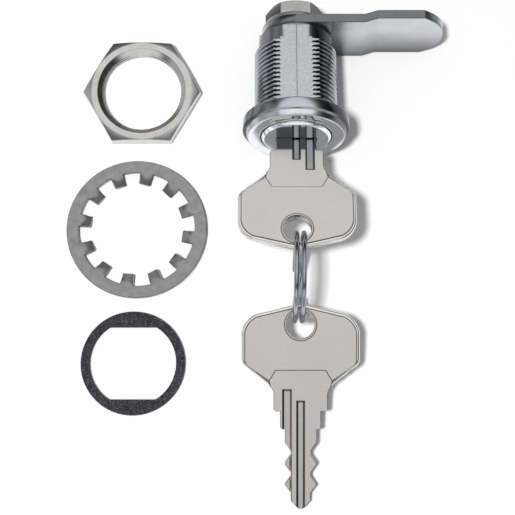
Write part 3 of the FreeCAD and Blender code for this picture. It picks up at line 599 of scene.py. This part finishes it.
def thread_row(angle):
    """The thread's crests and roots at one angle, following its helix."""
    row = []
    start = THREAD_START - THREAD_PITCH * (1 - angle / TURN)
    for index in range(THREAD_ROWS):
        base = start + index * THREAD_PITCH
        for share, depth in THREAD_PROFILE:
            z = base + share * THREAD_PITCH
            r = THREAD_CREST - depth * (THREAD_CREST - THREAD_ROOT)
            if not THREAD_START < z < THREAD_END:
                z = min(max(z, THREAD_START), THREAD_END)
                r = THREAD_ROOT
            row.append((flatten(r, angle), z))
    return row


def channel_radius(angle):
    """How far out the two channels that the wafers slide into reach at one angle."""
    side = CHANNEL_REACH / max(abs(math.cos(angle)), NEAR_ZERO)
    return min(side, CHANNEL_HALF / max(abs(math.sin(angle)), NEAR_ZERO))


def housing_section(angle):
    """The housing's head, its thread, and its rear with the stop sector and the bore."""
    root = flatten(THREAD_ROOT, angle)
    collar = flatten(COLLAR_RADIUS, angle)
    channel = max(PLUG_BORE, channel_radius(angle))
    end = STOP_SEAT + STOP_RISE if STOP_LOW < angle < STOP_HIGH else COLLAR_END
    head = softened(
        [
            (PLUG_BORE, HEAD_SEAT, 1),
            (HEAD_OPENING, HEAD_SEAT, 1),
            (HEAD_OPENING, -BEZEL_DEPTH),
            (BEZEL_RADIUS, -BEZEL_DEPTH),
            (SHOULDER_RADIUS, -SHOULDER_DEPTH, 1),
            (FLANGE_RADIUS, -FLANGE_EDGE),
            (FLANGE_RADIUS - FLANGE_DRAFT, 0),
            (root, 0, 1),
        ],
        HEAD_ROUND,
    )
    rear = [
        (root, BARREL_LENGTH - BARREL_STEP),
        (collar, BARREL_LENGTH),
        (collar, end - COLLAR_BREAK),
        (collar - COLLAR_BREAK, end),
        (COLLAR_BORE, end),
        (COLLAR_BORE, STOP_SEAT),
        (channel, STOP_SEAT),
        (channel, CHANNEL_START),
        (PLUG_BORE, CHANNEL_START),
    ]
    return head + thread_row(angle) + rear


corner_angles = []
for turned in (math.atan(CHANNEL_HALF / CHANNEL_REACH), math.asin(CHANNEL_HALF / PLUG_BORE)):
    corner_angles += [turned, math.pi - turned, math.pi + turned, TURN - turned]
for turned in (STOP_LOW, STOP_HIGH):
    corner_angles += [turned - STOP_WALL, turned + STOP_WALL]
angles = even_angles(HOUSING_COLUMNS, corner_angles)
housing = lathe("lock_housing", angles, housing_section, LOCK, sharp=40)
CHROME, CAST, ROOTS, SATIN, BRIGHT, SHOULDER = range(6)
for look in (chrome, cast, roots, satin, bright, shoulder):
    housing.data.materials.append(look.material)
inward = LOCK.inverted()
for face in housing.data.polygons:
    middle = inward @ (face.center / MM)
    radius = math.hypot(middle.x, middle.y)
    on_flat = abs(abs(middle.y) - FLAT) < SEAM_HEIGHT + FLAT_SLACK
    # One half of each flat's seam takes the roots' darker chrome, as a dark line
    if SLACK < middle.z < COLLAR_END and on_flat:
        face.material_index = ROOTS if 0 < middle.x < SEAM_HALF else CAST
    # The thread's roots take the darker chrome as painted shade
    elif THREAD_START < middle.z < THREAD_END and radius < (THREAD_CREST + THREAD_ROOT) / 2:
        face.material_index = ROOTS
    # The bezel's cone and faces take the lighter chrome, a painted sheen
    elif middle.z < -SHOULDER_DEPTH and radius > HEAD_OPENING + SLACK:
        face.material_index = SATIN if radius > BEZEL_RADIUS - ROUND_REACH else BRIGHT
    # The shoulder takes the chrome with painted shade at its sides
    elif middle.z < ROUND_REACH - FLANGE_EDGE and radius > SHOULDER_RADIUS:
        face.material_index = SHOULDER
    else:
        face.material_index = CHROME
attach(housing, "housing_body")
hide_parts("housing")


# Panel nut: a chamfered hexagon with a countersunk, threaded bore
def nut_section(angle):
    turned = (angle + math.pi / 6) % (math.pi / 3) - math.pi / 6
    side = NUT_WIDTH / 2 / math.cos(math.pi / 6 - abs(turned))
    rim = NUT_HEIGHT - max(0.0, (side - NUT_FACE) * math.tan(NUT_SLOPE))
    mouth = NUT_BORE + NUT_SINK
    top, low = NUT_HEIGHT - NUT_SINK - NUT_RUNOUT, NUT_SINK + NUT_RUNOUT
    thread = []
    for index in range(NUT_THREADS):
        for share, depth in NUT_PROFILE:
            z = top + THREAD_PITCH * (1 - angle / TURN - index - share)
            thread.append((NUT_BORE + (depth if low < z < top else 0.0), min(max(z, low), top)))
    return [
        (side - NUT_BREAK, 0),
        (side, NUT_BREAK),
        (side, rim - NUT_EASE),
        (side - NUT_LEAD, rim + NUT_EASE / 2),
        (NUT_FACE, NUT_HEIGHT - NUT_FINE),
        (NUT_FACE - NUT_LIP, NUT_HEIGHT),
        (mouth + NUT_LIP, NUT_HEIGHT),
        (mouth - NUT_FINE, NUT_HEIGHT - NUT_EASE),
        (NUT_BORE + NUT_LEAD, NUT_HEIGHT - NUT_SINK),
        *thread,
        (NUT_BORE + NUT_LEAD, NUT_SINK),
        (mouth - NUT_FINE, NUT_EASE),
        (mouth + NUT_LIP, 0),
    ]


nut_place = Matrix.Translation((centre("panel_nut").x, centre("panel_nut").y, 0))
nut = lathe("mounting_nut", even_angles(NUT_COLUMNS), nut_section, nut_place, sharp=24)
nut.data.materials.append(nickel.material)
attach(nut, "panel_nut_body")
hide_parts("panel_nut")


# Lock washer: a stamped ring whose inner teeth are twisted
def make_washer(place):
    """A polar grid in two layers with walls between them, bent at the teeth. Each tooth has its
    full twist at two thirds of its length."""
    rim_rows, tooth_rows = 4, 8
    slot_columns, tooth_columns = 8, 6
    columns = slot_columns + tooth_columns
    total = TOOTH_COUNT * columns
    half_root = TOOTH_ROOT / 2 / WASHER_INNER
    points, faces = [], []
    for layer in (-0.5, 0.5):
        for column in range(total):
            tooth, local = divmod(column, columns)
            middle = TOOTH_PHASE + TURN * tooth / TOOTH_COUNT
            if local <= tooth_columns:
                side_share = 2 * local / tooth_columns - 1
                angle = middle + side_share * half_root
            else:
                share = (local - tooth_columns) / slot_columns
                side_share = None
                angle = middle + half_root + share * (TURN / TOOTH_COUNT - 2 * half_root)
            for row in range(rim_rows + 1):
                radius = WASHER_RADIUS + (WASHER_INNER - WASHER_RADIUS) * row / rim_rows
                points.append((radius * math.cos(angle), radius * math.sin(angle), layer * WASHER_THICK))
            for row in range(1, tooth_rows + 1):
                if side_share is None:
                    points.append(points[-1])
                    continue
                share = row / tooth_rows
                radius = WASHER_INNER + (WASHER_TIPS - WASHER_INNER) * share
                width = TOOTH_ROOT + (TOOTH_TIP - TOOTH_ROOT) * share
                twist = TOOTH_TWIST * eased(min(1.0, share * 1.5))
                aside, up = side_share * width / 2, layer * WASHER_THICK * TOOTH_THIN
                sideways = aside * math.cos(twist) - up * math.sin(twist)
                z = aside * math.sin(twist) + up * math.cos(twist)
                x = radius * math.cos(middle) - sideways * math.sin(middle)
                y = radius * math.sin(middle) + sideways * math.cos(middle)
                points.append((x, y, z))
    rows = rim_rows + tooth_rows + 1

    def at(layer, column, row):
        return (layer * total + column % total) * rows + row

    for column in range(total):
        after = column + 1
        deep = rim_rows + (tooth_rows if column % columns < tooth_columns else 0)
        for layer in (0, 1):
            for row in range(deep):
                faces.append((
                    at(layer, column, row), at(layer, after, row),
                    at(layer, after, row + 1), at(layer, column, row + 1),
                ))
        for row in (0, deep):
            faces.append((at(0, column, row), at(0, after, row), at(1, after, row), at(1, column, row)))
        if column % columns in (0, tooth_columns):
            for row in range(rim_rows, rim_rows + tooth_rows):
                faces.append((
                    at(0, column, row), at(1, column, row),
                    at(1, column, row + 1), at(0, column, row + 1),
                ))
    return add_mesh("toothed_washer", points, faces, place, sharp=40)


washer = make_washer(Matrix.Translation(centre("panel_lock_washer")))
washer.data.materials.append(steel.material)
washer.data.materials.append(edge_shade_steel.material)
# The washer's rounded edges take the darker steel as painted shade
edges = soften(washer, WASHER_ROUND, 2)
edges.material = washer.data.materials.find(edge_shade_steel.material.name)
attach(washer, "lock_washer_body")
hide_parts("panel_lock_washer")

# Split ring: one wire in two flat turns, with the step between them at its foot
ring_place = Matrix.Translation(centre("split_ring")) @ Matrix.Rotation(-RING_LEAN, 4, "Z")
ring_place = ring_place @ Matrix.Rotation(math.pi / 2, 4, "Y")
windings = []
for index in range(RING_POINTS + 1):
    turns = RING_TURNS * (index / RING_POINTS - 0.5)
    beside = RING_PITCH * (eased(min(max(turns / RING_STEP + 0.5, 0), 1)) - 0.5)
    windings.append(winding(turns, RING_RADIUS, beside))
ring = tube("key_ring", windings, RING_WIRE, ring_place, RING_SIDES)
ring.data.materials.append(wire.material)
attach(ring, "ring_body")
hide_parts("split_ring")


# Keys: each has its solid's own skin, with a rounder outline at the bow than elsewhere
KEY_FACE, KEY_FLOOR, KEY_LINE, KEY_RIM = range(4)


def make_key(name, node, body, look, floor_look, up, along):
    """A key with its looks, riding on a body. The bow is the end that comes first along the key,
    and its outline is where the walls that span the whole thickness meet the faces."""
    piece = bpy.data.objects.new(name, frame["nodes"][node].data.copy())
    bpy.context.scene.collection.objects.link(piece)
    mesh = piece.data
    mesh.materials.clear()
    for part_look in (look, floor_look, lines, rim_highlight):
        mesh.materials.append(part_look.material)
    corners = [vertex.co / MM for vertex in mesh.vertices]
    spots = [tuple(round(part, 2) for part in corner) for corner in corners]
    heights = [corner.dot(up) for corner in corners]
    floor_low, floor_high = min(heights) + GROOVE_LEAST, max(heights) - GROOVE_LEAST
    bow_end = min(corner.dot(along) for corner in corners) + BOW_LENGTH
    rim = set()
    for face in mesh.polygons:
        levels = [heights[index] for index in face.vertices]
        level = abs(face.normal.dot(up)) > 0.999
        # Groove floors take the darker metal, a painted shade
        face.material_index = KEY_FLOOR if level and floor_low < levels[0] < floor_high else KEY_FACE
        spans = abs(max(levels) - min(levels) - KEY_THICKNESS) < SLACK
        if not spans or max(corners[index].dot(along) for index in face.vertices) > bow_end:
            continue
        for first, second in face.edge_keys:
            if abs(heights[first] - heights[second]) < SLACK:
                rim.add(frozenset((spots[first], spots[second])))
    weights = mesh.attributes.new("bevel_weight_edge", "FLOAT", "EDGE")
    for edge in mesh.edges:
        if frozenset((spots[edge.vertices[0]], spots[edge.vertices[1]])) in rim:
            weights.data[edge.index].value = 1.0
    join_faces(piece)
    # The bow's rounded rim takes the painted highlight, the other rounded edges the painted shade
    soften(piece, BOW_ROUND, 5, "WEIGHT").material = KEY_RIM
    soften(piece, KEY_ROUND, 2).material = KEY_LINE
    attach(piece, body)
    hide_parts(node)


make_key("key_in_lock", "main_key", "main_key_body", key_with_painted_shadow, groove, -DOWN, AXIS)
make_key("key_on_ring", "spare_key", "spare_key_body", key_metal, pale_groove, SPARE_UP, -SPARE_ALONG)


# CAD pieces that stay: soft edges and a material each
def dress(node, look, edge):
    """A look for a piece, and its edges rounded by a width. Its mesh stays as it is."""
    piece = frame["nodes"][node]
    piece.data.materials.clear()
    piece.data.materials.append(look.material)
    join_faces(piece)
    flatter = piece.modifiers.new("flat_faces", "DECIMATE")
    flatter.decimate_type = "DISSOLVE"
    flatter.angle_limit = math.radians(1)
    soften(piece, edge, 2)


for node, look, edge in (
    ("plug", bright, 0.06),
    ("stop_washer", zinc, 0.08),
    ("cam", cam_metal, 0.20),
    ("cam_spring_washer", steel, 0.06),
    ("cam_nut", cam_nut_metal, 0.08),
    ("panel_gasket", foam, 0.10),
):
    dress(node, look, edge)
for number in WAFERS:
    dress(f"wafer_{number}", brass, 0.04)

# Wafer springs: a small coil of round wire for each wafer, lying across the plug
coil = []
coil_steps = COIL_POINTS * SPRING_TURNS
for index in range(coil_steps + 1):
    rise = (SPRING_LENGTH - 2 * SPRING_WIRE) * (index / coil_steps - 0.5)
    coil.append(winding(index / COIL_POINTS, SPRING_RADIUS, rise))
for number in WAFERS:
    coil_place = Matrix.Translation(centre(f"wafer_spring_{number}")) @ Matrix.Rotation(math.pi / 2, 4, "Y")
    spring = tube(f"coil_{number}", coil, SPRING_WIRE, coil_place, COIL_SIDES)
    spring.data.materials.append(wire.material)
    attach(spring, "plug_body")
    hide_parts(f"wafer_spring_{number}")
